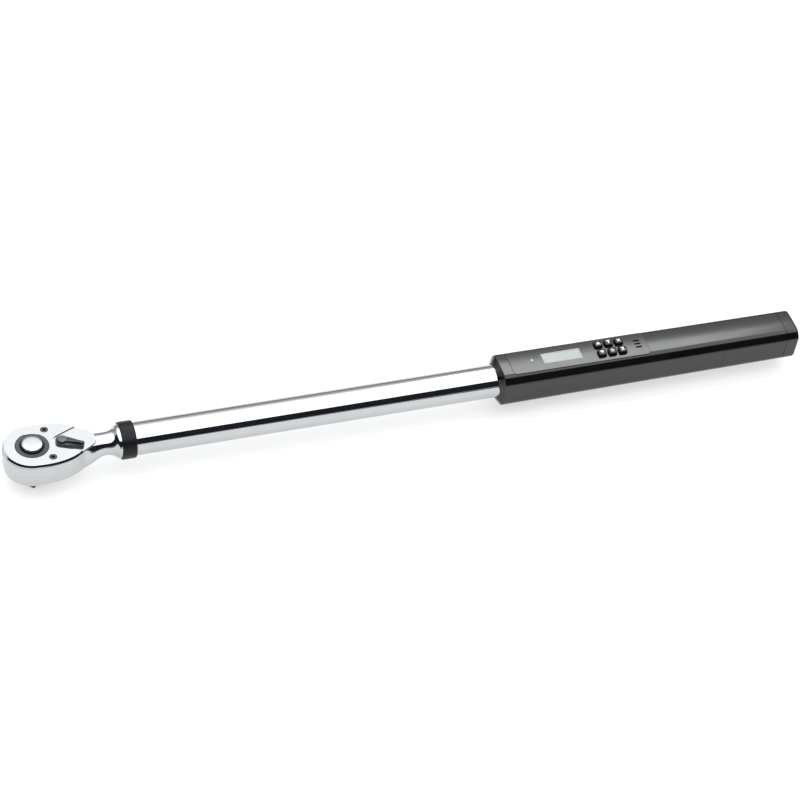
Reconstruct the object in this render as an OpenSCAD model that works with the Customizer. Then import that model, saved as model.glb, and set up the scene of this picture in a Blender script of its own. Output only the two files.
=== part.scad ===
// Electronic torque wrench with a reversible ratchet head and a male square drive.
// +X runs from the drive axis to the end of the handle. +Z points away from the socket.
// The origin is on the drive axis, in the plane of the shoulder that a socket seats against.

/* [Part] */
// sub-part to draw, or all of them

/* [Drive] */
// side of the male square
square_w = 12.7; // [9.5:0.1:19.1]
// length of the male square below the shoulder
square_l = 14.5; // [10:0.5:20]
// number of teeth on the drive gear
gear_teeth = 72; // [36:12:96]
// radius over the tooth tips
gear_tip_r = 15.3; // [14:0.1:17]
// depth of a gear tooth
tooth_depth = 0.8; // [0.5:0.1:1.2]
// radius of the gear's two journals
journal_r = 12.8; // [11:0.1:14]
// radius of the quick-release button
button_r = 8.1; // [6:0.1:9]
// travel of the quick-release button
button_travel = 3; // [2:0.5:4]
// radius of the detent ball
ball_r = 2.38; // [1.5:0.01:3]

/* [Head] */
// height of the tube axis above the socket shoulder
axis_z = 13.5; // [12:0.5:16]
// radius of the round end of the head body
head_r = 22.8; // [20:0.1:26]
// radius of the round end of the cover plate
plate_r = 21.4; // [19:0.1:24]
// thickness of the cover plate
plate_t = 2; // [1.5:0.1:3]
// distance from the drive axis to the reverse lever's pivot
lever_x = 22.9; // [20:0.1:26]
// angle between the lever's two ends of travel
lever_swing = 52; // [40:1:80]
// smallest radius of the neck
neck_r = 8.9; // [7:0.1:11]

/* [Tube] */
// outer radius of the tube
tube_r = 13; // [10:0.5:16]
// wall thickness of the tube
tube_wall = 2; // [1.5:0.1:3]
// start of the tube along X
tube_start = 67.1; // [60:0.1:80]
// outer radius of the collar ring
collar_r = 14; // [13.5:0.1:16]
// length of the collar ring
collar_l = 11.2; // [8:0.1:15]

/* [Handle] */
// front end of the handle along X
handle_start = 367.7; // [340:0.1:400]
// rear end of the handle shell along X
handle_end = 611.5; // [560:0.1:640]
// length of the end cap
cap_l = 10.5; // [8:0.5:20]
// wall thickness of the handle shell
shell_wall = 2.2; // [1.6:0.1:3]
// front edge of the control panel along X
panel_start = 380; // [375:0.5:400]
// rear edge of the control panel along X
panel_end = 495; // [460:0.5:520]
// width of the control panel
panel_w = 24.2; // [20:0.1:25]
// travel of each key
key_travel = 0.9; // [0.5:0.1:1.5]
// front edge of the battery door along X
door_start = 557.6; // [540:0.1:570]

/* [Hidden] */
$fn = 96;
plate_top = axis_z + 9.8;
plate_bottom = plate_top - plate_t;
body_bottom = axis_z - 12.8;
button_top = plate_top + button_travel;
pocket_floor = 4.2;
gear_low = 4.4;
gear_high = 19.9;
ball_z = -7.2;
ball_out = 5.03;
ball_turn = 225;
pin_r = 2.6;
pin_neck_r = 1.5;
bore_gap = 0.06;
ledge_z = plate_top + 1.2;
cap_seat = plate_top + 1.8;
recess_depth = 1;
recess_r = 6.9;
recess_side = 23.3;
cam_offset = 0.95;
cam_r = 2.1;
pawl_pivot_x = 17;
pawl_in_r = gear_tip_r + 0.12;
pawl_out_r = 18.5;
pawl_reach = 38;
pawl_tilt = atan2(cam_offset * sin(lever_swing / 2),
    lever_x - pawl_pivot_x - cam_offset * cos(lever_swing / 2));
pawl_low = 6.2;
pawl_high = 18.4;
shank_l = 37;
beam_end = 176;
tube_end = 392;
handle_top = axis_z + 15.75;
panel_under = handle_top - 1.6;
board_z = axis_z + 7;
board_t = 1.6;
board_start = 395;
board_end = 494;
window_start = 407.2;
window_end = 439.8;
window_w = 11.4;
key_x = [455.5, 464.15, 472.8];
key_y = 4.95;
key_w = 6.6;
key_top = handle_top + 2.4;
lens_x = 398.4;
lens_r = 1.4;
slot_x = 487.4;
door_top = axis_z + 8.5;
cell_r = 5.25;
cell_l = 44.5;
cell_spread = 6.3;
cell_start = 562;
cells_z = axis_z - 0.5;
cap_start = handle_end + 0.2;
post_spots = [[400.5, 9], [400.5, -9], [491.8, 9], [491.8, -9]];

chrome = [0.86, 0.87, 0.88];
steel = [0.62, 0.63, 0.65];
dark_steel = [0.20, 0.20, 0.21];
black = [0.05, 0.05, 0.055];
soft_black = [0.08, 0.08, 0.085];
grey = [0.45, 0.45, 0.46];
white = [0.92, 0.93, 0.93];
lcd_grey = [0.72, 0.76, 0.74];
board_green = [0.08, 0.30, 0.16];
brass = [0.75, 0.62, 0.32];
copper = [0.72, 0.42, 0.25];
cell_green = [0.20, 0.36, 0.30];

// ---- curves ----------------------------------------------------------------

// one point of a Catmull-Rom curve between b and c
function curve_point(a, b, c, d, t) = 0.5 * (2 * b + (c - a) * t
    + (2 * a - 5 * b + 4 * c - d) * t * t
    + (3 * b - a - 3 * c + d) * t * t * t);

// open smooth curve through a list of points, with n steps in each span
function curve(p, n) = concat([
    for (i = [0 : len(p) - 2])
        for (k = [0 : n - 1])
            curve_point(p[max(i - 1, 0)], p[i], p[i + 1],
                p[min(i + 2, len(p) - 1)], k / n)
], [p[len(p) - 1]]);

// the same curve below the X axis, run backwards
function below(p) = [for (i = [len(p) - 2 : -1 : 1]) [p[i][0], -p[i][1]]];

function unit(v) = v / norm(v);

// points of a round of radius r at corner b, between the sides to a and to c
function round_at(a, b, c, r, n) =
    let (
        u = unit(a - b),
        v = unit(c - b),
        half = acos(u * v) / 2,
        m = b + unit(u + v) * r / sin(half),
        p = b + u * r / tan(half) - m,
        q = b + v * r / tan(half) - m,
        start = atan2(p[1], p[0]),
        raw = atan2(q[1], q[0]) - start,
        turn = raw > 180 ? raw - 360 : raw < -180 ? raw + 360 : raw
    )
    [for (k = [0 : n]) m + r * [cos(start + turn * k / n), sin(start + turn * k / n)]];

// polygon whose corners carry the radii in r
function rounded(p, r, n) = [
    for (i = [0 : len(p) - 1])
        each round_at(p[(i + len(p) - 1) % len(p)], p[i], p[(i + 1) % len(p)], r[i], n)
];

// half outline of the cover plate, grown by g
function plate_half(g) = curve([
    [0, plate_r + g], [8, plate_r + 0.3 + g], [16, plate_r - 0.3 + g],
    [24, plate_r - 2.1 + g], [31, plate_r - 5 + g], [37, plate_r - 9.2 + g],
    [42.6, 8.9 + g], [46.8, 5.6 + g], [48.4 + g, 0]
], 5);

// half outline of the head body where it narrows into the neck
function body_half() = curve([
    [-6, 15], [6, head_r - 0.9], [16, head_r - 0.7], [24, head_r - 2.2],
    [31, head_r - 5], [37, head_r - 9], [43, 10.8], [48.5, 9.3], [53, 7.4]
], 4);

// handle section in the YZ plane about the tube axis, with its walls moved in by w
function handle_section(w) = rounded([
    [14.2 - w, -16.2 + w], [17.1 - w, 9.4 - w * 0.35], [12.3 - w * 0.6, 15.2 - w],
    [0, 15.75 - w],
    [-12.3 + w * 0.6, 15.2 - w], [-17.1 + w, 9.4 - w * 0.35], [-14.2 + w, -16.2 + w]
], [6.8 - w * 0.8, 3, 5, 150 - w * 25, 5, 3, 6.8 - w * 0.8], 6);

// closed outline of a toothed ring, moved out by g
function teeth_outline(g) = [
    for (i = [0 : 2 * gear_teeth - 1])
        (gear_tip_r - (i % 2) * tooth_depth + g)
            * [cos(180 * i / gear_teeth), sin(180 * i / gear_teeth)]
];

// ---- helpers ---------------------------------------------------------------

// turns a profile of [radius, x] about the tube axis
module about_tube() {
    translate([0, 0, axis_z])
        rotate([0, 90, 0])
            rotate_extrude()
                children();
}

// a rod along the tube axis from x0 to x1
module tube_rod(r, x0, x1) {
    translate([x0, 0, axis_z])
        rotate([0, 90, 0])
            cylinder(r = r, h = x1 - x0);
}

// the handle's section drawn out from x0 to x1
module handle_bar(w, x0, x1) {
    translate([x0, 0, axis_z])
        rotate([90, 0, 90])
            linear_extrude(x1 - x0)
                polygon(handle_section(w));
}

// a block given by its two opposite corners
module block(low, high) {
    translate(low)
        cube(high - low);
}

// a block with rounded upright edges, centred on x and y
module soft_block(x, y, wx, wy, z0, z1, r) {
    translate([x, y, z0])
        linear_extrude(z1 - z0)
            polygon(rounded([
                [-wx / 2, -wy / 2], [wx / 2, -wy / 2],
                [wx / 2, wy / 2], [-wx / 2, wy / 2]
            ], [r, r, r, r], 6));
}

// ---- ratchet head ----------------------------------------------------------

// round end of the head, barrel shaped
module head_barrel() {
    rotate_extrude()
        polygon(concat([[0, body_bottom]], curve([
            [head_r - 3.6, body_bottom], [head_r - 1.9, body_bottom + 1],
            [head_r - 1, body_bottom + 2.8], [head_r - 0.3, body_bottom + 8],
            [head_r, body_bottom + 14], [head_r - 0.4, plate_bottom - 2],
            [head_r - 1.1, plate_bottom]
        ], 2), [[0, plate_bottom]]));
}

// part of the head between the round end and the neck
module head_pear() {
    intersection() {
        translate([0, 0, body_bottom])
            linear_extrude(plate_bottom - body_bottom)
                polygon(concat(body_half(), below(body_half()), [[-6, -15]]));
        about_tube()
            polygon(concat([[0, -8]], curve([
                [24.2, -8], [24.5, 6], [24, 14], [22.2, 22], [19.6, 30],
                [15.6, 38], [11.9, 44], [9.9, 49], [9.1, 54]
            ], 2), [[0, 54]]));
    }
}

// waisted neck, its flared rim and the shank that fills the tube's front end
module neck_and_shank() {
    about_tube()
        polygon(concat([[0, 40]], curve([
            [9.2, 40], [9.4, 46], [neck_r, 52], [neck_r + 0.1, 57],
            [neck_r + 0.9, 60.4], [neck_r + 2.4, 63], [neck_r + 3.8, 65],
            [tube_r, 66.2]
        ], 3), [[tube_r, 67], [10.95, 67], [10.95, 67 + shank_l], [0, 67 + shank_l]]));
}

// room in the head for the pawl, its fork and their rocking
module pawl_room() {
    intersection() {
        translate([0, 0, pocket_floor])
            cylinder(r = pawl_out_r + 1.1, h = 30);
        translate([0, 0, pocket_floor])
            linear_extrude(30)
                polygon([[0, 0], [17.3, 15.6], [30, 0], [17.3, -15.6]]);
    }
    block([pawl_pivot_x, -5.7, pocket_floor], [lever_x + 4.9, 5.7, 30]);
}

module head_body() {
    color(chrome)
        difference() {
            union() {
                head_barrel();
                head_pear();
                neck_and_shank();
            }
            translate([0, 0, plate_bottom])
                linear_extrude(10)
                    polygon(concat(plate_half(0.05), below(plate_half(0.05)),
                        [for (a = [270 : -5 : 95]) (plate_r + 3) * [cos(a), sin(a)]]));
            translate([0, 0, pocket_floor])
                cylinder(r = gear_tip_r + 0.5, h = 30);
            translate([0, 0, -1])
                cylinder(r = journal_r + bore_gap, h = 10);
            pawl_room();
            translate([pawl_pivot_x, 0, 2.6])
                cylinder(r = 0.95, h = 5);
            translate([lever_x, 0, 2.2])
                cylinder(r = 1.46, h = 5);
            for (s = [-1, 1])
                translate([12.7, s * 14.7, 8.8])
                    cylinder(r = 1.55, h = 20);
            block([67 + shank_l - 8, -6.1, axis_z - 4.6], [67 + shank_l + 1, 6.1, axis_z + 4.6]);
        }
}

module cover_plate() {
    color(chrome)
        difference() {
            translate([0, 0, plate_bottom])
                linear_extrude(plate_t)
                    polygon(concat(plate_half(0), below(plate_half(0)),
                        [for (a = [270 : -5 : 90]) plate_r * [cos(a), sin(a)]]));
            translate([0, 0, plate_bottom - 1])
                cylinder(r = journal_r + bore_gap, h = 10);
            translate([lever_x, 0, plate_bottom - 1])
                cylinder(r = 3.07, h = 10);
            lever_recess();
            for (s = [-1, 1])
                translate([12.7, s * 14.7, plate_bottom - 1]) {
                    cylinder(r = 1.65, h = 10);
                    translate([0, 0, 1.3])
                        cylinder(r = 2.95, h = 10);
                }
        }
}

// lowered area that the lever sweeps over, open towards the neck
module lever_recess() {
    translate([lever_x, 0, plate_top - recess_depth]) {
        cylinder(r = recess_r, h = 5);
        linear_extrude(5)
            polygon([for (q = [[0, -1], [34, -1], [34, 1], [0, 1]])
                [q[0] * cos(recess_side) - recess_r * sin(recess_side),
                    q[1] * (q[0] * sin(recess_side) + recess_r * cos(recess_side))]]);
    }
}

module cover_screws() {
    color(dark_steel)
        for (s = [-1, 1])
            translate([12.7, s * 14.7, 0])
                difference() {
                    union() {
                        translate([0, 0, 10])
                            cylinder(r = 1.5, h = 12);
                        translate([0, 0, plate_bottom + 0.35])
                            cylinder(r = 2.85, h = plate_t - 0.45);
                    }
                    translate([0, 0, plate_top - 1.3])
                        cylinder(r = 1.5, h = 3, $fn = 6);
                }
}

module drive_gear() {
    color(dark_steel)
        difference() {
            union() {
                rotate([0, 0, 45])
                    translate([-square_w / 2, -square_w / 2, -square_l])
                        cube([square_w, square_w, square_l + 1]);
                cylinder(r = journal_r, h = gear_low + 0.4);
                translate([0, 0, gear_low])
                    linear_extrude(gear_high - gear_low)
                        polygon(teeth_outline(0));
                translate([0, 0, gear_high - 0.4])
                    cylinder(r = journal_r, h = plate_top + 0.5 - gear_high);
            }
            translate([0, 0, -13.3])
                cylinder(r = pin_r + 0.05, h = 30);
            translate([0, 0, 12])
                cylinder(r = 9, h = 20);
            translate([0, 0, 18.6])
                cylinder(r = 9.35, h = 20);
            rotate([0, 0, ball_turn])
                translate([0, 0, ball_z])
                    rotate([0, 90, 0]) {
                        cylinder(r = ball_r + bore_gap, h = 6.05);
                        cylinder(r = ball_r - 0.06, h = 12);
                    }
        }
}

module gear_washer() {
    color(steel)
        translate([0, 0, 20.2])
            difference() {
                cylinder(r = 15.1, h = 0.8);
                translate([0, 0, -1])
                    cylinder(r = journal_r + 0.3, h = 3);
            }
}

module button_collar() {
    color(black)
        translate([0, 0, 18.6])
            difference() {
                cylinder(r = 9.33, h = 4.2);
                translate([0, 0, -1])
                    cylinder(r = button_r + bore_gap, h = 10);
            }
}

module release_button() {
    color(chrome)
        difference() {
            rotate_extrude()
                polygon([[0, 15.4], [8.9, 15.4], [8.9, 18.5], [button_r, 18.5],
                    [button_r, button_top - 0.6], [button_r - 0.35, button_top - 0.15],
                    [button_r - 0.9, button_top], [0, button_top]]);
            translate([0, 0, 14])
                cylinder(r = 6.8, h = 10.2);
            translate([0, 0, 14])
                cylinder(r = pin_r - 0.05, h = 11.4);
        }
}

module release_pin() {
    color(steel)
        rotate_extrude()
            polygon([[0, -10], [pin_r, -10], [pin_r, ball_z - 0.4],
                [pin_neck_r, ball_z - 0.4 + button_travel],
                [pin_neck_r, ball_z + 2.6 + button_travel],
                [pin_r, ball_z + 2.9 + button_travel], [pin_r, 24.1], [pin_r - 0.05, 24.1],
                [pin_r - 0.05, 25.3], [0, 25.3]]);
}

// compression spring, drawn as a stack of coils joined by an upright wire
module release_spring() {
    color(steel)
        union() {
            for (k = [0 : 5])
                translate([0, 0, 12.6 + k * 2.2])
                    rotate_extrude()
                        translate([4.6, 0])
                            circle(r = 0.5, $fn = 24);
            translate([4.6, 0, 12.6])
                cylinder(r = 0.42, h = 11, $fn = 24);
        }
}

module detent_ball() {
    color(steel)
        rotate([0, 0, ball_turn])
            translate([ball_out, 0, ball_z])
                sphere(r = ball_r, $fn = 48);
}

// pawl seen from above in its middle position
module pawl_shape() {
    difference() {
        union() {
            intersection() {
                difference() {
                    circle(r = pawl_out_r);
                    circle(r = pawl_in_r);
                }
                polygon([[0, 0], [30 * cos(pawl_reach), 30 * sin(pawl_reach)],
                    [45, 0], [30 * cos(pawl_reach), -30 * sin(pawl_reach)]]);
            }
            translate([pawl_pivot_x - 1.2, -4.3])
                square([8.9, 8.6]);
        }
        circle(r = pawl_in_r);
        translate([19.1, -cam_r - 0.07])
            square([12, 2 * cam_r + 0.14]);
        for (s = [-1, 1])
            translate([pawl_pivot_x, 0])
                rotate(s * pawl_tilt)
                    translate([-pawl_pivot_x, 0])
                        polygon(teeth_outline(0.12));
        translate([pawl_pivot_x, 0])
            circle(r = 0.96);
    }
}

module pawl() {
    color(steel)
        translate([pawl_pivot_x, 0, pawl_low])
            rotate([0, 0, pawl_tilt])
                translate([-pawl_pivot_x, 0, 0])
                    linear_extrude(pawl_high - pawl_low)
                        pawl_shape();
}

module pawl_pin() {
    color(steel)
        translate([pawl_pivot_x, 0, 2.7])
            cylinder(r = 0.9, h = 18.4);
}

// flat foot of the lever, pointing along +X from its pivot
module lever_foot() {
    translate([0, 0, plate_top - 0.85]) {
        cylinder(r = 5, h = ledge_z - plate_top + 0.85);
        linear_extrude(ledge_z - plate_top + 0.85)
            polygon([[-1.2, -4.85], [3.8, -4.4], [7.2, -3.9], [12.2, -3.1], [15.6, -2.6],
                [16.8, -1.7], [17.2, 0], [16.8, 1.7], [15.6, 2.6], [12.2, 3.1], [7.2, 3.9],
                [3.8, 4.4], [-1.2, 4.85]]);
    }
}

// thumb ridge that stands on the lever's foot
module lever_ridge() {
    intersection() {
        translate([0, 0, ledge_z - 1])
            linear_extrude(8)
                polygon([[0, -1.7], [3.5, -1.5], [12, -1], [15.4, -1.1], [16.3, -0.6],
                    [16.3, 0.6], [15.4, 1.1], [12, 1], [3.5, 1.5], [0, 1.7]]);
        rotate([90, 0, 0])
            translate([0, 0, -10])
                linear_extrude(20)
                    polygon([[-1, ledge_z - 0.9], [20, ledge_z - 0.9], [16.3, ledge_z + 1],
                        [15, ledge_z + 1.75], [12.5, ledge_z + 1.8], [3, ledge_z + 1.4],
                        [-1, ledge_z + 1.1]]);
    }
}

module reverse_lever() {
    color(black)
        translate([lever_x, 0, 0])
            rotate([0, 0, -lever_swing / 2])
                difference() {
                    union() {
                        lever_foot();
                        lever_ridge();
                        translate([0, 0, plate_top - 0.85])
                            cylinder(r = 3.85, h = cap_seat + 0.5 - plate_top + 0.85);
                        translate([0, 0, pawl_high + 0.3])
                            cylinder(r = 3, h = 5);
                        translate([-cam_offset, 0, 6])
                            cylinder(r = cam_r, h = 13);
                        translate([0, 0, 2.6])
                            cylinder(r = 1.4, h = 5);
                    }
                    translate([0, 0, cap_seat])
                        cylinder(r = 3.55, h = 5);
                }
}

module lever_pivot_cap() {
    color(grey)
        translate([lever_x, 0, cap_seat])
            rotate_extrude()
                polygon([[0, 0], [3.5, 0], [3.5, 0.7], [3.3, 0.9], [0, 0.9]]);
}

// ---- middle ----------------------------------------------------------------

module collar_ring() {
    color(soft_black)
        about_tube()
            polygon([
                [tube_r + 0.03, tube_start], [collar_r - 0.7, tube_start],
                [collar_r, tube_start + 0.9], [collar_r, tube_start + collar_l - 0.9],
                [collar_r - 0.6, tube_start + collar_l],
                [tube_r + 0.03, tube_start + collar_l]
            ]);
}

module tube() {
    color(chrome)
        difference() {
            tube_rod(tube_r, tube_start, tube_end);
            tube_rod(tube_r - tube_wall, tube_start - 1, tube_end + 1);
        }
}

module load_beam() {
    color(steel)
        difference() {
            union() {
                block([67 + shank_l - 7.8, -6, axis_z - 4.5], [beam_end, 6, axis_z + 4.5]);
                tube_rod(tube_r - tube_wall - 0.05, beam_end - 8, beam_end + 6);
            }
            for (s = [-1, 1])
                block([118, s * 6.5 - 1.5, axis_z - 3], [152, s * 6.5 + 1.5, axis_z + 3]);
            translate([beam_end - 20, 0, axis_z + 7.4])
                rotate([0, 90, 0])
                    cylinder(r = 1.6, h = 40);
        }
}

module strain_gauges() {
    color(copper)
        for (s = [-1, 1])
            for (x = [124, 138])
                block([x, s * 5.1 - 0.08, axis_z - 2.2], [x + 8, s * 5.1 + 0.08, axis_z + 2.2]);
}

module sensor_lead() {
    color(grey)
        union() {
            translate([150, 0, axis_z + 7.4])
                rotate([0, 90, 0])
                    cylinder(r = 1.1, h = board_start - 150);
            translate([150, 0, axis_z + 4.6])
                cylinder(r = 1.1, h = 2.8);
        }
}

module tube_end_plug() {
    color(soft_black)
        difference() {
            tube_rod(tube_r - tube_wall - 0.05, tube_end - 12, tube_end);
            translate([tube_end - 20, 0, axis_z + 7.4])
                rotate([0, 90, 0])
                    cylinder(r = 1.3, h = 40);
        }
}

// ---- handle ----------------------------------------------------------------

// slopes that blend the handle's front end into the tube
module nose_limits() {
    rotate([90, 0, 0])
        translate([0, 0, -30])
            linear_extrude(60)
                polygon([[handle_start, axis_z - 13.5], [handle_start, axis_z + 13.3],
                    [handle_start + 3.8, axis_z + 16], [700, axis_z + 16],
                    [700, axis_z - 17], [handle_start + 3.4, axis_z - 17]]);
}

// side slopes of the handle's front end, seen from above
module nose_sides() {
    translate([0, 0, -20])
        linear_extrude(60)
            polygon([[handle_start, -13.7], [handle_start + 3.8, -17.5], [700, -17.5],
                [700, 17.5], [handle_start + 3.8, 17.5], [handle_start, 13.7]]);
}

module handle_outside() {
    intersection() {
        handle_bar(0, handle_start, handle_end);
        nose_limits();
        nose_sides();
        about_tube()
            polygon([[0, handle_start - 1], [14.3, handle_start - 1],
                [20.2, handle_start + 4], [30, handle_start + 12], [30, 650], [0, 650]]);
    }
}

module handle_shell() {
    color(black)
        difference() {
            handle_outside();
            tube_rod(tube_r + 0.03, handle_start - 5, tube_end + 0.5);
            handle_bar(shell_wall, tube_end + 0.4, handle_end + 1);
            soft_block((panel_start + panel_end) / 2, 0, panel_end - panel_start + 0.2,
                panel_w + 0.2, panel_under - 0.05, handle_top + 5, 3);
            block([board_start - 1, -11.3, axis_z], [board_end + 0.6, 11.3, handle_top + 5]);
            block([door_start - 0.2, -20, axis_z - 20], [handle_end + 1, 20, door_top + 0.2]);
        }
}

// round-cornered plate that follows the crowned top of the handle
module panel_blank() {
    intersection() {
        handle_bar(0.1, panel_start - 5, panel_end + 5);
        soft_block((panel_start + panel_end) / 2, 0, panel_end - panel_start,
            panel_w, panel_under, handle_top + 5, 2.9);
    }
}

module control_panel() {
    color(soft_black)
        difference() {
            union() {
                panel_blank();
                for (p = post_spots)
                    translate([p[0], p[1], board_z + board_t + 0.02])
                        cylinder(r = 1.9, h = panel_under - board_z - board_t + 0.4);
            }
            block([window_start, -window_w / 2, 20], [window_end, window_w / 2, 40]);
            for (x = key_x)
                for (s = [-1, 1])
                    soft_block(x, s * key_y, key_w + 0.6, key_w + 0.6, 20, 40, 1.5);
            translate([lens_x, 0, 20])
                cylinder(r = lens_r + 0.02, h = 20);
            for (y = [-3.5, 0, 3.5])
                soft_block(slot_x, y, 5.2, 1.3, 20, 40, 0.6);
            for (p = post_spots)
                translate([p[0], p[1], 15])
                    cylinder(r = 1.05, h = 11.6);
        }
}

module display_window() {
    color([0.75, 0.80, 0.78, 0.4])
        block([window_start + 0.02, 0.02 - window_w / 2, panel_under + 0.1],
            [window_end - 0.02, window_w / 2 - 0.02, handle_top - 0.3]);
}

module display_module() {
    color(lcd_grey)
        union() {
            block([window_start - 1.6, -8, panel_under - 3.2],
                [window_end + 1.6, 8, panel_under - 0.02]);
            block([window_start + 1, -6, board_z + board_t + 0.02],
                [window_end - 1, 6, panel_under - 3]);
        }
}

module indicator_lens() {
    color(white)
        union() {
            translate([lens_x, 0, board_z + board_t + 0.1])
                cylinder(r = lens_r, h = handle_top - board_z - board_t);
            translate([lens_x, 0, board_z + board_t + 0.1])
                cylinder(r = 2.2, h = 2);
        }
}

module circuit_board() {
    color(board_green)
        difference() {
            union() {
                block([board_start, -11, board_z], [board_end, 11, board_z + board_t]);
                block([444, -6, board_z - 2.4], [454, 4, board_z + 0.2]);
                block([412, -4, board_z - 1.8], [419, 3, board_z + 0.2]);
                block([470, -7, board_z - 5], [482, 1, board_z + 0.2]);
            }
            for (p = post_spots)
                translate([p[0], p[1], board_z - 5])
                    cylinder(r = 1.15, h = 15);
        }
}

module board_screws() {
    color(steel)
        for (p = post_spots)
            translate([p[0], p[1], board_z - 1.2])
                difference() {
                    union() {
                        cylinder(r = 1.9, h = 1.18);
                        cylinder(r = 1, h = 6.8);
                    }
                    translate([0, 0, -1])
                        cylinder(r = 0.8, h = 1.6, $fn = 6);
                }
}

module key_domes() {
    color(steel)
        for (x = key_x)
            for (s = [-1, 1])
                translate([x, s * key_y, board_z + board_t + 0.02])
                    rotate_extrude()
                        polygon([[0, 0], [2.4, 0], [2.2, 0.6], [1.5, 1], [0, 1.1]]);
}

module buzzer() {
    color(soft_black)
        translate([slot_x, 0, board_z + board_t + 0.02])
            difference() {
                cylinder(r = 6, h = 4.2);
                translate([0, 0, 3.4])
                    cylinder(r = 1.1, h = 2);
            }
}

// one key: cap, flange under the panel and stem above its contact dome
module key_at(x, y) {
    color(soft_black)
        union() {
            soft_block(x, y, key_w, key_w, panel_under - 2, key_top - 0.5, 1.2);
            soft_block(x, y, key_w - 0.8, key_w - 0.8, key_top - 0.6, key_top, 1);
            soft_block(x, y, key_w + 1.5, key_w + 1.5, panel_under - 1.8, panel_under - 0.4, 1.2);
            translate([x, y, board_z + board_t + 1.2 + key_travel])
                cylinder(r = 1.8, h = panel_under - 1.5 - board_z - board_t - 1.2 - key_travel);
        }
}

module key_up() {
    key_at(key_x[0], key_y);
}

module key_peak() {
    key_at(key_x[1], key_y);
}

module key_clear() {
    key_at(key_x[2], key_y);
}

module key_down() {
    key_at(key_x[0], -key_y);
}

module key_power() {
    key_at(key_x[1], -key_y);
}

module key_unit() {
    key_at(key_x[2], -key_y);
}

// a rod along X for cell number i, from x0 to x1
module cell_rod(i, r, x0, x1) {
    translate([x0, cell_spread * cos(90 + 120 * i), cells_z + cell_spread * sin(90 + 120 * i)])
        rotate([0, 90, 0])
            cylinder(r = r, h = x1 - x0);
}

module battery_carrier() {
    color(soft_black)
        difference() {
            translate([cell_start - 3, 0, cells_z])
                rotate([0, 90, 0])
                    cylinder(r = 10.6, h = cell_l + 5);
            for (i = [0 : 2])
                cell_rod(i, cell_r + 0.1, cell_start - 0.6, cell_start + cell_l + 0.6);
            for (i = [0 : 2])
                cell_rod(i, 2.6, cell_start - 4, cell_start + cell_l + 4);
        }
}

module batteries() {
    color(cell_green)
        for (i = [0 : 2]) {
            cell_rod(i, cell_r, cell_start, cell_start + cell_l - 1);
            cell_rod(i, 1.9, cell_start + cell_l - 0.9, cell_start + cell_l - 0.05);
        }
}

module battery_contacts() {
    color(brass)
        for (i = [0 : 2]) {
            cell_rod(i, 2.2, cell_start - 3.2, cell_start - 0.1);
            cell_rod(i, 2.2, cell_start + cell_l, cell_start + cell_l + 2.2);
        }
}

module battery_door() {
    color(black)
        difference() {
            intersection() {
                handle_bar(0, door_start, handle_end);
                block([door_start, -30, -30], [handle_end, 30, door_top]);
            }
            handle_bar(shell_wall, door_start - 1, handle_end + 1);
        }
}

// softened rear edge of the end cap, as limits seen from the side and from above
module cap_limits() {
    rotate([90, 0, 0])
        translate([0, 0, -30])
            linear_extrude(60)
                polygon([[cap_start - 5, axis_z - 20], [cap_start - 5, axis_z + 20],
                    [cap_start + cap_l - 1.6, axis_z + 20], [cap_start + cap_l - 1.6, axis_z + 15.3],
                    [cap_start + cap_l - 0.5, axis_z + 14.8], [cap_start + cap_l, axis_z + 13.8],
                    [cap_start + cap_l, axis_z - 14.2], [cap_start + cap_l - 0.5, axis_z - 15.2],
                    [cap_start + cap_l - 1.6, axis_z - 15.7], [cap_start + cap_l - 1.6, axis_z - 20]]);
}

module end_cap() {
    color(black)
        difference() {
            union() {
                intersection() {
                    handle_bar(0, cap_start, cap_start + cap_l);
                    cap_limits();
                    translate([0, 0, -20])
                        linear_extrude(60)
                            polygon([[cap_start - 5, -20], [cap_start + cap_l - 1.7, -20],
                                [cap_start + cap_l - 1.7, -16.5], [cap_start + cap_l, -14.8],
                                [cap_start + cap_l, 14.8], [cap_start + cap_l - 1.7, 16.5],
                                [cap_start + cap_l - 1.7, 20], [cap_start - 5, 20]]);
                }
                handle_bar(shell_wall + 0.1, cap_start - 2.6, cap_start + 1);
            }
            handle_bar(shell_wall + 1.9, cap_start - 4, cap_start + cap_l - 2);
        }
}

// ---- nodes -----------------------------------------------------------------

head_body();
cover_plate();
cover_screws();
drive_gear();
gear_washer();
button_collar();
release_button();
release_pin();
release_spring();
detent_ball();
pawl();
pawl_pin();
reverse_lever();
lever_pivot_cap();
collar_ring();
tube();
load_beam();
strain_gauges();
sensor_lead();
tube_end_plug();
handle_shell();
control_panel();
display_window();
display_module();
indicator_lens();
circuit_board();
board_screws();
key_domes();
buzzer();
key_up();
key_peak();
key_clear();
key_down();
key_unit();
key_power();
battery_carrier();
batteries();
battery_contacts();
battery_door();
end_cap();
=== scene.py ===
# Torque wrench: the visible pieces, their materials, the studio and the camera.
# Shapes are made in millimetres in the row frame, and solid() scales them to metres.
import math
import bpy
import bmesh
from mathutils import Matrix, Vector


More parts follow.
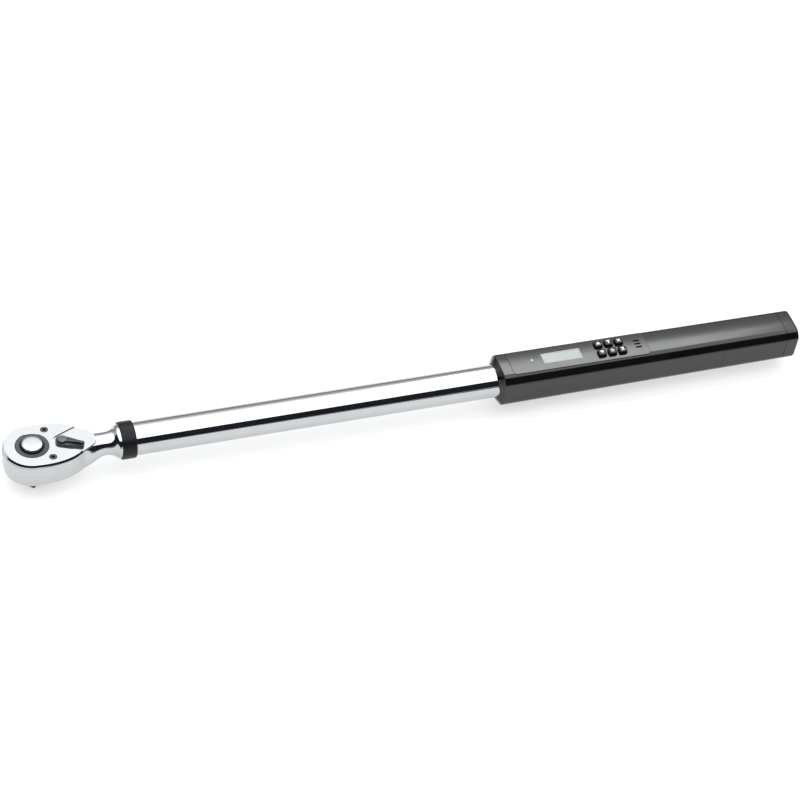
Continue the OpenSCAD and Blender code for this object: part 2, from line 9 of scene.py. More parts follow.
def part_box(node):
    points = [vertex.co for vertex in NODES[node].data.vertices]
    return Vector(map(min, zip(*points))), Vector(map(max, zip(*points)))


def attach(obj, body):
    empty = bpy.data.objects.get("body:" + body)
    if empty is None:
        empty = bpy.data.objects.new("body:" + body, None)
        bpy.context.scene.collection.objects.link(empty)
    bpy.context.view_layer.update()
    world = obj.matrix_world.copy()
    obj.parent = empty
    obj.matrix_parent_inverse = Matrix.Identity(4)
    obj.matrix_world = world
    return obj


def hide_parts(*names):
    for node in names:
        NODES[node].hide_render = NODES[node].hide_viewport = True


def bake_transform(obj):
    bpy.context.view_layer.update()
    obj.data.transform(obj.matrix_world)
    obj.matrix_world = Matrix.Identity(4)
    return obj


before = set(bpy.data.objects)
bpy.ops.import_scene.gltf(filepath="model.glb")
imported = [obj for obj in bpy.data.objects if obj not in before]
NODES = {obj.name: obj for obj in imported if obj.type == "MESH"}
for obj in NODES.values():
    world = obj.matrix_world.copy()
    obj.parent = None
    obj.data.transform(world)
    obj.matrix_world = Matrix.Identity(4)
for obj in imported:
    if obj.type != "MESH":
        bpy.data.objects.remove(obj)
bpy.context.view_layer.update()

# ---- sizes, in millimetres in the row frame -------------------------------------------

MM = 0.001


def low(node):
    """lowest corner of a CAD node, in millimetres"""
    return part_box(node)[0] / MM


def high(node):
    """highest corner of a CAD node, in millimetres"""
    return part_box(node)[1] / MM


AXIS_Z = (low("tube").z + high("tube").z) / 2
TUBE_R = (high("tube").z - low("tube").z) / 2
TUBE_START = low("tube").x
TUBE_END = high("tube").x
TUBE_WALL = 2
SLEEVE_R = TUBE_R + 0.03  # bore of the pieces that sit on the tube
PLATE_TOP = high("cover_plate").z
PLATE_LOW = low("cover_plate").z
PLATE_R = -low("cover_plate").x
HEAD_R = -low("head_body").x
HEAD_LOW = low("head_body").z
JOURNAL_R = 12.8  # the gear's round face, seen in the plate
JOURNAL_BORE = JOURNAL_R + 0.06
LEVER_X = (low("lever_pivot_cap").x + high("lever_pivot_cap").x) / 2
LEVER_REST = -26.0  # degrees from +X
LEDGE_Z = PLATE_TOP + 1.2  # top of the lever's foot
RECESS_DEPTH = 1.0
RECESS_R = 6.9
RECESS_SIDE = math.radians(23.3)  # each side of the sunk area, from +X
SCREW_X = 12.7
SCREW_Y = 14.7
GEAR_TEETH = 72
TOOTH_TIP_R = 15.3
TOOTH_ROOT_R = 14.5
SQUARE = 12.7  # half inch drive
BALL_Z = -7.2
SEAT_Z = 18.6  # seat of the black collar in the gear
COLLAR_END = high("collar_ring").x
COLLAR_R = 14.55
HANDLE_START = low("handle_shell").x
HANDLE_END = high("handle_shell").x
HANDLE_TOP = high("handle_shell").z
NOSE_END = HANDLE_START + 4.2
PANEL_START = low("control_panel").x
PANEL_END = high("control_panel").x
PANEL_HALF = high("control_panel").y
PANEL_UNDER = HANDLE_TOP - 1.6
PANEL_R = 2.9
PANEL_CUT = (20, 45)  # heights of the tools that go through the panel
WINDOW_START = low("display_window").x
WINDOW_END = high("display_window").x
WINDOW_HALF = high("display_window").y
LENS_X = (low("indicator_lens").x + high("indicator_lens").x) / 2
SLOT_X = 487.4
SLOT_Y = (-3.5, 0.0, 3.5)
DOOR_START = low("battery_door").x
DOOR_TOP = high("battery_door").z
SEAM = 0.2  # gap round the door and in front of the end cap
CAP_START = HANDLE_END + SEAM
CAP_END = high("end_cap").x
SHELL_WALL = 2.2
KEY_W = 6.6
ICON_SCALE = 1.25
FLOOR_Z = low("drive_gear").z
TAPER_FROM = 400.0  # the handle's section is scaled by TAPER_START here
TAPER_START = 1.02
TAPER_RATE = 0.06 / 212.0  # loss of scale per millimetre


# ---- mesh helpers ---------------------------------------------------------------------

def smooth_line(points, steps):
    """Catmull-Rom curve through a list of tuples"""
    out = []
    last = len(points) - 1
    for i in range(last):
        a = Vector(points[max(i - 1, 0)])
        b = Vector(points[i])
        c = Vector(points[i + 1])
        d = Vector(points[min(i + 2, last)])
        for k in range(steps):
            t = k / steps
            out.append(0.5 * (2 * b + (c - a) * t + (2 * a - 5 * b + 4 * c - d) * t * t
                              + (3 * b - a - 3 * c + d) * t ** 3))
    out.append(Vector(points[last]))
    return out


def value_at(line, x):
    """height of a polyline of (x, y) at x"""
    if x <= line[0][0]:
        return line[0][1]
    for a, b in zip(line, line[1:]):
        if x <= b[0]:
            t = (x - a[0]) / (b[0] - a[0]) if b[0] > a[0] else 0
            return a[1] + (b[1] - a[1]) * t
    return line[-1][1]


def ease(a, b, x):
    """smooth step from 0 at a to 1 at b"""
    t = min(max((x - a) / (b - a), 0.0), 1.0)
    return t * t * (3 - 2 * t)


def rounded_polygon(corners, radii, steps):
    """closed outline of 2D corners, each rounded by its radius"""
    out = []
    n = len(corners)
    for i in range(n):
        a, b, c = (Vector(corners[(i + k) % n]) for k in (-1, 0, 1))
        u = (a - b).normalized()
        v = (c - b).normalized()
        half = math.acos(max(-1.0, min(1.0, u.dot(v)))) / 2
        m = b + (u + v).normalized() * radii[i] / math.sin(half)
        p = b + u * radii[i] / math.tan(half) - m
        q = b + v * radii[i] / math.tan(half) - m
        start = math.atan2(p.y, p.x)
        turn = (math.atan2(q.y, q.x) - start + math.pi) % math.tau - math.pi
        for k in range(steps + 1):
            t = start + turn * k / steps
            out.append(m + radii[i] * Vector((math.cos(t), math.sin(t))))
    return out


def rounded_box(wx, wy, r, steps=6):
    corners = [(-wx / 2, -wy / 2), (wx / 2, -wy / 2), (wx / 2, wy / 2), (-wx / 2, wy / 2)]
    return rounded_polygon(corners, [r] * 4, steps)


def polar(r, t):
    return Vector((r * math.cos(t), r * math.sin(t)))


def grow(outline, g):
    """closed 2D outline moved out along its normals"""
    n = len(outline)
    out = []
    for i in range(n):
        t = outline[(i + 1) % n] - outline[i - 1]
        normal = Vector((t.y, -t.x)).normalized()
        out.append(outline[i] + normal * g)
    return out


def loft(rings, wrap=False, caps=True):
    """mesh through closed rings of 3D points, all with the same count"""
    bm = bmesh.new()
    rows = [[bm.verts.new(p) for p in ring] for ring in rings]
    n = len(rows[0])
    pairs = list(zip(rows, rows[1:])) + ([(rows[-1], rows[0])] if wrap else [])
    for a, b in pairs:
        for i in range(n):
            j = (i + 1) % n
            bm.faces.new((a[i], a[j], b[j], b[i]))
    if caps and not wrap:
        bm.faces.new(list(reversed(rows[0])))
        bm.faces.new(rows[-1])
    return bm


def stack(levels):
    """prism from (z, 2D outline) levels"""
    return loft([[Vector((p.x, p.y, z)) for p in outline] for z, outline in levels])


def lathe(profile, steps=96, axis="Z", wrap=False):
    """solid turned from (radius, height) points. Axis X turns about the tube's axis"""
    rings = []
    for r, h in profile:
        ring = []
        for k in range(steps):
            t = math.tau * k / steps
            if axis == "Z":
                ring.append(Vector((r * math.cos(t), r * math.sin(t), h)))
            else:
                ring.append(Vector((h, r * math.cos(t), AXIS_Z + r * math.sin(t))))
        rings.append(ring)
    return loft(rings, wrap=wrap)


def clean(bm, gap=1e-4):
    """merges points closer than gap and turns all faces outwards"""
    bmesh.ops.remove_doubles(bm, verts=bm.verts[:], dist=gap)
    bmesh.ops.dissolve_degenerate(bm, edges=bm.edges[:], dist=gap)
    bmesh.ops.recalc_face_normals(bm, faces=bm.faces[:])
    return bm


def place(bm, turn=0.0, move=(0, 0, 0)):
    """turns a mesh about Z and moves it"""
    spin = Matrix.Rotation(turn, 3, "Z")
    bmesh.ops.rotate(bm, verts=bm.verts[:], cent=(0, 0, 0), matrix=spin)
    bmesh.ops.translate(bm, verts=bm.verts[:], vec=move)
    return bm


def join(*parts):
    """several meshes as one"""
    out = bmesh.new()
    for bm in parts:
        mesh = bpy.data.meshes.new("part")
        bm.to_mesh(mesh)
        out.from_mesh(mesh)
        bpy.data.meshes.remove(mesh)
        bm.free()
    return out


def new_object(name, data):
    obj = bpy.data.objects.new(name, data)
    bpy.context.scene.collection.objects.link(obj)
    return obj


def mesh_object(name, bm):
    """object from a mesh, which is freed"""
    mesh = bpy.data.meshes.new(name)
    bm.to_mesh(mesh)
    bm.free()
    return new_object(name, mesh)


def solid(name, bm):
    """object in metres from a mesh in millimetres"""
    clean(bm)
    bmesh.ops.scale(bm, vec=(MM, MM, MM), verts=bm.verts[:])
    return mesh_object(name, bm)


def bake_modifiers(obj):
    """makes the result of the modifiers the object's own mesh"""
    bpy.context.view_layer.update()
    depsgraph = bpy.context.evaluated_depsgraph_get()
    mesh = bpy.data.meshes.new_from_object(obj.evaluated_get(depsgraph))
    obj.modifiers.clear()
    old = obj.data
    obj.data = mesh
    mesh.name = obj.name
    bpy.data.meshes.remove(old)


def carve(obj, cutters, operation="DIFFERENCE"):
    """boolean of an object with meshes in millimetres"""
    for bm in cutters:
        tool = solid("tool", bm)
        mod = obj.modifiers.new("carve", "BOOLEAN")
        mod.operation = operation
        mod.solver = "EXACT"
        mod.object = tool
        bake_modifiers(obj)
        mesh = tool.data
        bpy.data.objects.remove(tool)
        bpy.data.meshes.remove(mesh)


def bevel(obj, width, segments, angle):
    """rounds the edges sharper than angle, in degrees"""
    mod = obj.modifiers.new("edge", "BEVEL")
    mod.width = width * MM
    mod.segments = segments
    mod.limit_method = "ANGLE"
    mod.angle_limit = math.radians(angle)
    mod.use_clamp_overlap = True
    mod.miter_outer = "MITER_ARC"
    bake_modifiers(obj)


def finish_piece(obj, material, body, nodes, angle):
    """material, smooth shading, body and hidden CAD nodes of a piece. A piece given no body
    is left unattached
    """
    mesh = obj.data
    mesh.materials.clear()
    mesh.materials.append(material)
    mesh.polygons.foreach_set("use_smooth", [True] * len(mesh.polygons))
    mesh.set_sharp_from_angle(angle=math.radians(angle))
    mesh.update()
    mod = obj.modifiers.new("shading", "WEIGHTED_NORMAL")
    mod.keep_sharp = True
    mod.weight = 60
    bake_modifiers(obj)
    if body:
        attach(obj, body)
    if nodes:
        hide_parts(*nodes)


# ---- materials ------------------------------------------------------------------------

CHROME_GREY = 0.5


def new_material(name):
    mat = bpy.data.materials.new(name)
    mat.use_nodes = True
    tree = mat.node_tree
    shader = tree.nodes["Principled BSDF"]
    coords = tree.nodes.new("ShaderNodeTexCoord")
    return mat, tree, shader, coords.outputs["Object"]


def feed(tree, socket, value):
    """links a socket to another one, or sets it to a plain value"""
    if isinstance(value, bpy.types.NodeSocket):
        tree.links.new(value, socket)
    else:
        socket.default_value = value


def add_node(tree, kind, **inputs):
    node = tree.nodes.new("ShaderNode" + kind)
    for name, value in inputs.items():
        feed(tree, node.inputs[name.replace("_", " ")], value)
    return node


def maths(tree, operation, *values):
    node = tree.nodes.new("ShaderNodeMath")
    node.operation = operation
    for socket, value in zip(node.inputs, values):
        feed(tree, socket, value)
    return node.outputs[0]


def stretched(tree, coords, scale):
    return add_node(tree, "Mapping", Vector=coords, Scale=scale).outputs["Vector"]


def noise(tree, coords, scale, detail, rough):
    return add_node(tree, "TexNoise", Vector=coords, Scale=scale, Detail=detail,
                    Roughness=rough).outputs["Fac"]


def ranged(tree, value, lo, hi, src_lo=0.3, src_hi=0.7):
    """value mapped from its source range to lo..hi"""
    return add_node(tree, "MapRange", Value=value, From_Min=src_lo, From_Max=src_hi,
                    To_Min=lo, To_Max=hi).outputs["Result"]


def bumped(tree, shader, height, strength, distance):
    node = add_node(tree, "Bump", Height=height, Strength=strength, Distance=distance)
    tree.links.new(node.outputs["Normal"], shader.inputs["Normal"])


def two_colours(tree, shader, value, dark, light):
    """base colour that drifts between two close tones"""
    node = tree.nodes.new("ShaderNodeValToRGB")
    node.color_ramp.elements[0].position = 0.35
    node.color_ramp.elements[1].position = 0.65
    node.color_ramp.elements[0].color = (*dark, 1)
    node.color_ramp.elements[1].color = (*light, 1)
    tree.links.new(value, node.inputs["Fac"])
    tree.links.new(node.outputs["Color"], shader.inputs["Base Color"])


def surface(name, dark, light, rough, metal=0.0, grain=900.0, bump=0.15, depth=0.00002,
            patch=40.0, ior=1.5, stretch=(1, 1, 1)):
    """patchy colour, patchy roughness with fine grain, and bump from the grain"""
    mat, tree, shader, coords = new_material(name)
    shader.inputs["Metallic"].default_value = metal
    shader.inputs["IOR"].default_value = ior
    patches = noise(tree, coords, patch, 4.0, 0.55)
    two_colours(tree, shader, patches, dark, light)
    fine = noise(tree, stretched(tree, coords, stretch), grain, 2.0, 0.6)
    half = maths(tree, "MULTIPLY", patches, 0.5)
    mix = maths(tree, "MULTIPLY_ADD", fine, 0.5, half)
    tree.links.new(ranged(tree, mix, *rough), shader.inputs["Roughness"])
    bumped(tree, shader, fine, bump, depth)
    return mat


def chrome_material(name, rough, wave):
    """polished chrome: slow waviness from polishing, faint hairlines and finger haze"""
    mat, tree, shader, coords = new_material(name)
    shader.inputs["Metallic"].default_value = 1.0
    grey = CHROME_GREY
    haze = noise(tree, coords, 60.0, 5.0, 0.6)
    two_colours(tree, shader, haze, (grey * 0.97, grey * 0.985, grey),
                (grey * 1.02, grey * 1.03, grey * 1.04))
    lines = noise(tree, stretched(tree, coords, (40, 900, 900)), 3.0, 2.0, 0.6)
    mix = maths(tree, "MULTIPLY", haze, lines)
    tree.links.new(ranged(tree, mix, *rough, 0.15, 0.4), shader.inputs["Roughness"])
    waves = noise(tree, coords, 45.0, 1.0, 0.4)
    bumped(tree, shader, waves, wave, 0.0004)
    return mat


# key: name, dark and light tone, roughness range, other settings
SURFACES = {
    "dark_steel": (
        "black_oxide_steel", (0.055, 0.057, 0.062), (0.08, 0.083, 0.09), (0.24, 0.36),
        dict(metal=0.95, grain=2500, bump=0.2)),
    "steel": (
        "ground_steel", (0.42, 0.43, 0.45), (0.55, 0.56, 0.58), (0.2, 0.34),
        dict(metal=1.0, grain=1500, bump=0.2, stretch=(6, 1, 1))),
    "lever_black": (
        "lever_black_finish", (0.002, 0.0022, 0.0026), (0.004, 0.0044, 0.005), (0.14, 0.26),
        dict(grain=1600, bump=0.12, ior=1.65)),
    "grey_metal": (
        "pivot_grey_metal", (0.1, 0.1, 0.105), (0.14, 0.14, 0.148), (0.3, 0.42),
        dict(metal=0.9, grain=2200, bump=0.2)),
    "soft_black": (
        "satin_black_rubber", (0.0016, 0.0018, 0.0025), (0.0028, 0.0031, 0.004),
        (0.32, 0.44), dict(grain=2600, bump=0.3, depth=0.00003, ior=1.31)),
    "foil": (
        "copper_foil", (0.55, 0.27, 0.14), (0.68, 0.36, 0.2), (0.25, 0.4),
        dict(metal=1.0, grain=3000, bump=0.3, stretch=(1, 12, 1))),
    "lead": (
        "grey_cable", (0.16, 0.16, 0.165), (0.22, 0.22, 0.225), (0.5, 0.65),
        dict(grain=1800, bump=0.3)),
    "plug": (
        "black_plug", (0.02, 0.02, 0.021), (0.035, 0.035, 0.037), (0.55, 0.7),
        dict(grain=1500, bump=0.4, depth=0.00004)),
    "handle_black": (
        "handle_gloss_black", (0.0009, 0.001, 0.0013), (0.0016, 0.0018, 0.0022),
        (0.12, 0.18), dict(grain=420, bump=0.06, depth=0.00003, ior=1.51)),
    "panel_black": (
        "panel_satin_black", (0.0012, 0.0014, 0.0018), (0.002, 0.0023, 0.0029),
        (0.16, 0.23), dict(grain=3200, bump=0.15, ior=1.54)),
    "window": (
        "display_glass", (0.175, 0.2, 0.19), (0.2, 0.225, 0.212), (0.08, 0.14),
        dict(grain=500, bump=0.02)),
    "display": (
        "display_frame", (0.27, 0.3, 0.285), (0.31, 0.335, 0.32), (0.3, 0.42),
        dict(grain=2400, bump=0.1)),
    "lens": (
        "lens_white", (0.3, 0.31, 0.32), (0.36, 0.37, 0.38), (0.16, 0.26),
        dict(grain=1500, bump=0.06)),
    "print": (
        "key_print_white", (0.5, 0.51, 0.52), (0.62, 0.63, 0.64), (0.4, 0.55),
        dict(grain=2600, bump=0.15)),
    "board": (
        "solder_mask", (0.01, 0.09, 0.035), (0.018, 0.13, 0.055), (0.3, 0.42),
        dict(grain=700, bump=0.25, stretch=(1, 6, 1))),
    "inner_black": (
        "moulded_black", (0.014, 0.014, 0.015), (0.024, 0.024, 0.026), (0.45, 0.6),
        dict(grain=1400, bump=0.35, depth=0.00004)),
    "key_rubber": (
        "key_silicone", (0.0012, 0.0014, 0.0018), (0.0022, 0.0024, 0.003), (0.2, 0.32),
        dict(grain=2800, bump=0.15, ior=1.36)),
    "cells": (
        "cell_sleeve", (0.03, 0.11, 0.08), (0.05, 0.15, 0.11), (0.16, 0.28),
        dict(grain=1200, bump=0.08, stretch=(1, 4, 4))),
    "brass": (
        "contact_brass", (0.6, 0.45, 0.2), (0.72, 0.56, 0.27), (0.22, 0.38),
        dict(metal=1.0, grain=2400, bump=0.2)),
}


def make_materials():
    m = {"chrome": chrome_material("chrome_plate", (0.025, 0.06), 0.03),
         "chrome_tube": chrome_material("chrome_tube", (0.02, 0.05), 0.008),
         "button_chrome": chrome_material("button_satin_chrome", (0.14, 0.24), 0.02),
         "floor": floor_material()}
    for key, (name, dark, light, rough, rest) in SURFACES.items():
        m[key] = surface(name, dark, light, rough, **rest)
    return m


def floor_material():
    """white paper with a faint glow of its own, which keeps the ground bright"""
    mat, tree, shader, coords = new_material("studio_paper")
    soft = noise(tree, coords, 3.0, 2.0, 0.5)
    two_colours(tree, shader, soft, (0.42, 0.42, 0.42), (0.43, 0.43, 0.43))
    shader.inputs["Emission Color"].default_value = (1, 1, 1, 1)
    shader.inputs["Emission Strength"].default_value = 0.5
    fibres = noise(tree, coords, 900.0, 2.0, 0.5)
    tree.links.new(ranged(tree, fibres, 0.85, 0.95), shader.inputs["Roughness"])
    shader.inputs["Specular IOR Level"].default_value = 0.0
    bumped(tree, shader, fibres, 0.05, 0.0002)
    return mat


# ---- ratchet head ---------------------------------------------------------------------

PLATE_HALF = [(0, PLATE_R), (8, PLATE_R + 0.3), (16, PLATE_R - 0.3), (24, PLATE_R - 2.1),
              (31, PLATE_R - 5), (37, PLATE_R - 9.2), (42.6, 8.9), (46.8, 5.6), (48.4, 0)]
BODY_HALF = smooth_line([
    (-6, HEAD_R - 0.6), (0, HEAD_R), (8, HEAD_R - 0.2), (16, HEAD_R - 1.0),
    (24, HEAD_R - 2.7), (31, HEAD_R - 5.5), (37, HEAD_R - 9.2), (43, 10.7), (48.5, 9.4),
    (53, 8.9), (58, 8.9)], 10)
NECK_RIM = [Vector((64.1, 12.15)), Vector((64.6, 12.6)), Vector((65.2, 12.88)),
            Vector((66.0, TUBE_R)), Vector((TUBE_START, TUBE_R))]
NECK_TOP = smooth_line([
    (30, 9.0), (46, 8.95), (52, 8.9), (56, 8.9), (59, 9.25), (61.2, 10.0), (62.8, 11.0),
    (63.8, 12.0)], 10) + NECK_RIM
NECK_UNDER = smooth_line([
    (30, 18.0), (40, 15.9), (44, 14.3), (48, 11.9), (52, 9.8), (56, 9.2), (59.5, 9.6),
    (61.5, 10.4), (62.8, 11.2), (63.8, 12.0)], 10) + NECK_RIM
FAN_STEPS = 100  # sections turned round the head's end
BARREL_SHARE = 0.42  # share of the side's height that bulges before the draft starts
PAWL_ROOM = ((6, 0), (17.3, -15.6), (28.5, -1.9), (28.5, 1.9), (17.3, 15.6))
ROOM_FLOOR = 4.2
SHANK_R = 10.95
SKY = 30  # height clear of the head's top


def mirrored(side, arc):
    """closed outline: a side run back to its start, an arc, and the side's mirror image"""
    return list(reversed(side)) + arc + [Vector((p.x, -p.y)) for p in side[:-1]]


def plate_outline(g):
    """closed outline of the cover plate, seen from above, anticlockwise"""
    side = smooth_line(PLATE_HALF, 12)
    end = [polar(PLATE_R, math.radians(90 + 180 * k / 72)) for k in range(1, 72)]
    return grow(mirrored(side, end), g)


def head_section(x):
    """half section of the head at x, from the top centre to the bottom centre"""
    w = value_at(BODY_HALF, x)
    top = PLATE_LOW - 0.02
    mix = ease(31, 52, x)
    shoulder = 0.9 + 6.0 * ease(30, 47, x)
    foot = 3.4 + 4.5 * ease(34, 52, x)
    flat = w - shoulder * 1.03 - 0.25
    pts = [(flat * k / 9, top) for k in range(9)]
    for k in range(9):
        t = math.radians(90 - 74 * k / 8)
        pts.append((flat + shoulder * math.cos(t), top - shoulder + shoulder * math.sin(t)))
    z0 = pts[-1][1]
    y0 = pts[-1][0]
    z1 = HEAD_LOW + foot
    for k in range(1, 17):
        t = k / 16
        z = z0 + (z1 - z0) * t
        barrel = y0 + (w - y0) * math.sin(min(t / BARREL_SHARE, 1.0) * math.pi / 2)
        draft = 1.05 * max(0.0, (t - BARREL_SHARE) / 0.58) ** 1.8
        pts.append((barrel - draft, z))
    y1 = pts[-1][0]
    for k in range(1, 11):
        t = math.radians(9 * k)
        pts.append((y1 - foot * 0.95 * (1 - math.cos(t)), z1 - foot * math.sin(t)))
    y2 = pts[-1][0]
    pts += [(y2 * (1 - k / 8), HEAD_LOW) for k in range(1, 9)]
    if mix == 0:
        return pts
    r_top = value_at(NECK_TOP, x)
    r_under = value_at(NECK_UNDER, x)
    out = []
    for y, z in pts:
        a = math.atan2(y, z - AXIS_Z)
        rho = math.hypot(y, z - AXIS_Z)
        r = r_top + (r_under - r_top) * ease(60, 150, math.degrees(a))
        rho = rho * (1 - mix) + r * mix
        out.append((rho * math.sin(a), AXIS_Z + rho * math.cos(a)))
    return out


def head_grid():
    """rows of points from the far side of the neck, round the head, to the near side"""
    xs = [0.9 * k for k in range(1, 60)]
    xs += [54 + 0.55 * k for k in range(0, 19)]
    xs += [64.1, 64.35, 64.6, 64.9, 65.2, 65.6, 66.0, TUBE_START]
    rows = []
    for x in reversed(xs):
        rows.append([Vector((x, y, z)) for y, z in head_section(x)])
    base = head_section(0)
    for k in range(FAN_STEPS + 1):
        t = math.pi / 2 + math.pi * k / FAN_STEPS
        rows.append([Vector((y * math.cos(t), y * math.sin(t), z)) for y, z in base])
    for x in xs:
        rows.append([Vector((x, -y, z)) for y, z in head_section(x)])
    return rows


def head_blank():
    """closed mesh of the forging without its rooms"""
    bm = bmesh.new()
    rows = [[bm.verts.new(p) for p in row] for row in head_grid()]
    for a, b in zip(rows, rows[1:]):
        for i in range(len(a) - 1):
            bm.faces.new((a[i], a[i + 1], b[i + 1], b[i]))
    ring = rows[0] + list(reversed(rows[-1]))[1:-1]
    bm.faces.new(ring)
    return clean(bm, 1e-3)


def plate_recess():
    """tool that lowers the lever's area, with a sloping wall"""
    def outline(g):
        r = RECESS_R + g
        pts = []
        start = math.pi / 2 + RECESS_SIDE
        for k in range(41):
            t = start + (math.tau - 2 * start) * k / 40
            pts.append(polar(r, t))
        cos, sin = math.cos(RECESS_SIDE), math.sin(RECESS_SIDE)
        for s in (-1, 1):
            pts.append(Vector((40 * cos - r * sin, s * (40 * sin + r * cos))))
        return pts
    bm = stack([(PLATE_TOP - RECESS_DEPTH, outline(0.0)),
                (PLATE_TOP - 0.05, outline(0.22)), (PLATE_TOP + 4, outline(0.6))])
    return place(bm, 0.0, (LEVER_X, 0, 0))


def hole(x, y, r, z0, z1, chamfer=0.0, steps=64):
    """round tool, flared at its top when chamfer is given at height z1"""
    prof = [(r, z0), (r, z1 - chamfer)]
    if chamfer:
        prof += [(r + chamfer, z1), (r + chamfer + 0.5, z1 + 0.5)]
    else:
        prof += [(r, z1)]
    return place(lathe(prof, steps), 0.0, (x, y, 0))


def prism(outline, z0, z1):
    return stack([(z0, outline), (z1, outline)])


def block(x0, x1, y0, y1, z0, z1):
    pts = [Vector((x0, y0)), Vector((x1, y0)), Vector((x1, y1)), Vector((x0, y1))]
    return prism(pts, z0, z1)


def make_head(m):
    """forging with its shank, and the rooms for the plate, gear, pawl, screws and beam"""
    obj = solid("head_forging", head_blank())
    room = [Vector(p) for p in PAWL_ROOM]
    shank = lathe([(SHANK_R, TUBE_START - 1.5), (SHANK_R, TUBE_START + 37)], 96, "X")
    carve(obj, [shank], "UNION")
    carve(obj, [prism(plate_outline(0.06), PLATE_LOW - 0.01, SKY + 2),
                hole(0, 0, 15.8, ROOM_FLOOR, SKY), hole(0, 0, JOURNAL_BORE, -2, 8),
                prism(room, 4.23, SKY + 1),
                hole(LEVER_X, 0, 1.46, 2.2, 6, steps=32),
                hole(SCREW_X, SCREW_Y, 1.55, 8.8, SKY, steps=32),
                hole(SCREW_X, -SCREW_Y, 1.55, 8.8, SKY, steps=32),
                block(96, 106, -6.1, 6.1, AXIS_Z - 4.6, AXIS_Z + 4.6)])
    finish_piece(obj, m["chrome"], "frame", ["head_body"], 24)


def make_plate(m):
    """cover plate with a sloped rim, the sunk area and its four holes"""
    under, above = PLATE_LOW - 1, PLATE_TOP + 1
    levels = [(PLATE_LOW, 0.6), (PLATE_LOW + 0.3, 0.64), (PLATE_TOP - 0.5, -0.08),
              (PLATE_TOP - 0.22, -0.26), (PLATE_TOP - 0.06, -0.42), (PLATE_TOP, -0.6)]
    outlines = [(z, plate_outline(g)) for z, g in levels]
    obj = solid("cover_plate_polished", stack(outlines))
    carve(obj, [plate_recess(), hole(0, 0, JOURNAL_BORE, under, PLATE_TOP, 0.18, 128),
                hole(LEVER_X, 0, 3.07, under, above)])
    for y in (-SCREW_Y, SCREW_Y):
        carve(obj, [hole(SCREW_X, y, 1.65, under, above, steps=32),
                    hole(SCREW_X, y, 2.95, PLATE_LOW + 0.3, PLATE_TOP, 0.12, 48)])
    finish_piece(obj, m["chrome"], "frame", ["cover_plate"], 24)


def make_screws(m):
    """two cap screws with hexagon sockets"""
    top = PLATE_TOP - 0.08
    seat = PLATE_LOW + 0.35
    socket = [polar(1.45, math.tau * k / 6) for k in range(6)]
    screws, sockets = [], []
    for y in (-SCREW_Y, SCREW_Y):
        bm = lathe([(1.5, 10), (1.5, seat), (2.85, seat), (2.85, top - 0.25),
                    (2.6, top)], 48)
        screws.append(place(bm, 0.0, (SCREW_X, y, 0)))
        bm = stack([(PLATE_TOP - 1.4, socket), (PLATE_TOP - 0.2, socket),
                    (PLATE_TOP + 0.4, grow(socket, 0.5))])
        sockets.append(place(bm, 0.3, (SCREW_X, y, 0)))
    obj = solid("cover_screws_black", join(*screws))
    carve(obj, sockets)
    finish_piece(obj, m["dark_steel"], "frame", ["cover_screws"], 30)


def make_gear(m):
    """toothed ring with its two journals, and the male square below"""
    teeth = []
    count = 4 * GEAR_TEETH
    for k in range(count):
        r = TOOTH_TIP_R if k % 4 in (0, 1) else TOOTH_ROOT_R
        teeth.append(polar(r, math.tau * (k - 0.5) / count))
    obj = solid("drive_gear_black", prism(teeth, ROOM_FLOOR + 0.2, 19.9))
    top = PLATE_TOP + 0.1
    journals = lathe([(JOURNAL_R - 0.35, 0), (JOURNAL_R, 0.35), (JOURNAL_R, 12),
                      (JOURNAL_R, top - 0.3), (JOURNAL_R - 0.3, top)], 128)
    side = rounded_box(SQUARE, SQUARE, 0.9, 5)
    small = rounded_box(SQUARE - 1.6, SQUARE - 1.6, 0.9, 5)
    square = place(stack([(FLOOR_Z, small), (FLOOR_Z + 1.1, side), (1.0, side)]),
                   math.radians(45), (0, 0, 0))
    carve(obj, [journals, square], "UNION")
    carve(obj, [hole(0, 0, 2.65, -13.3, 17, steps=48), hole(0, 0, 9, 12, SKY, steps=96),
                hole(0, 0, 9.35, SEAT_Z, top, 0.25, 96)])
    level = Matrix.Rotation(math.radians(90), 4, "Y")
    turn = Matrix.Rotation(math.radians(225), 4, "Z") @ level
    bore = lathe([(2.44, 0), (2.44, 6.05), (2.32, 6.06), (2.32, 12)], 48)
    bmesh.ops.transform(bore, matrix=turn, verts=bore.verts[:])
    carve(obj, [place(bore, 0.0, (0, 0, BALL_Z))])
    finish_piece(obj, m["dark_steel"], "drive", ["drive_gear"], 30)


def make_button(m):
    """domed button, hollow below, and the black collar round it"""
    top = high("release_button").z
    base, roof, socket = 15.4, 24.2, 25.4
    prof = [(0, top), (3, top - 0.01), (5.4, top - 0.05), (6.6, top - 0.12),
            (7.2, top - 0.24), (7.65, top - 0.46), (7.95, top - 0.85), (8.1, top - 1.4),
            (8.1, base + 3.1), (8.9, base + 3.1), (8.9, base), (6.8, base), (6.8, roof),
            (2.55, roof), (2.55, socket), (0, socket)]
    obj = solid("release_button_domed", lathe(prof, 96))
    finish_piece(obj, m["button_chrome"], "button", ["release_button"], 30)
    prof = [(9.33, SEAT_Z), (9.33, 22.75), (9.15, 22.95), (8.55, 22.95), (8.2, 22.7),
            (8.16, 22.3), (8.16, SEAT_Z)]
    obj = solid("button_collar_black", lathe(prof, 96, wrap=True))
    finish_piece(obj, m["soft_black"], "drive", ["button_collar"], 30)


